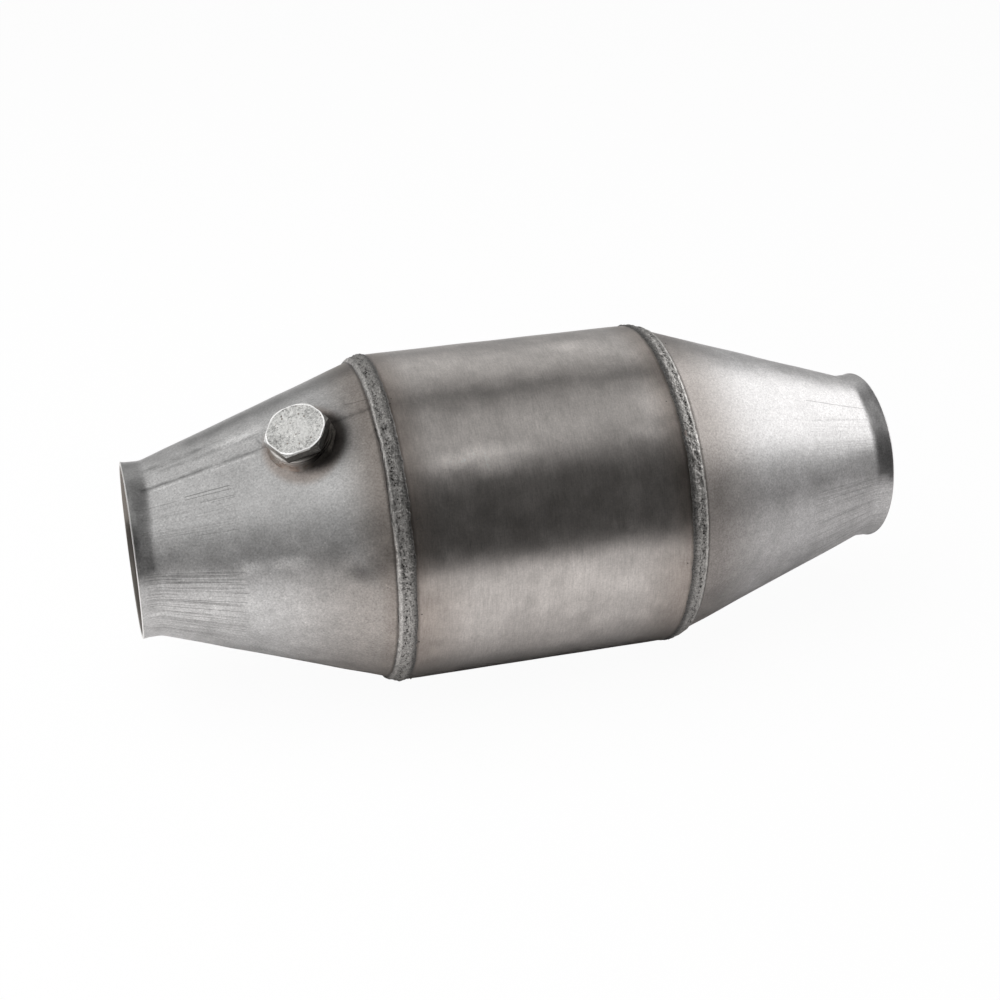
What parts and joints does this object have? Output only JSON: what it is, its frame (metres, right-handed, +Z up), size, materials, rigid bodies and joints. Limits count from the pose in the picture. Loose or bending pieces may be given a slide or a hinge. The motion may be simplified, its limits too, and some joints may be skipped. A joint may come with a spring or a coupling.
{
  "type": "catalytic converter",
  "caption": "Round metal-foil catalytic converter: straight casing, two welded cones with pipe collars, and a sensor port closed by a hexagon plug.",
  "frame": {"origin": "on the gas path's axis, at the middle of the casing", "axes": "+X along the gas path from inlet to outlet, +Z up; the sensor port is on the inlet cone, 23 degrees from +Z towards -Y"},
  "size_m": [0.305, 0.1302, 0.1302],
  "materials": {
    "casing_steel": "stainless, fine brushing round the axis",
    "cone_steel": "stainless, satin as pressed, with draw marks along the cone",
    "weld_metal": "rough, rippled and pitted",
    "boss_steel": "turned",
    "ring_metal": "flat and dull",
    "plug_steel": "tumbled and pitted, bright at its edges",
    "coated_foil": "matt, coated with washcoat"
  },
  "bodies": {
    "root": {"casing": "casing_steel", "inlet_cone": "cone_steel", "outlet_cone": "cone_steel", "inlet_weld": "weld_metal", "outlet_weld": "weld_metal", "sensor_boss": "boss_steel", "boss_weld": "weld_metal", "sealing_ring": "ring_metal", "port_plug": "plug_steel", "smooth_foil": "coated_foil", "corrugated_foil": "coated_foil"}
  },
  "joints": []
}
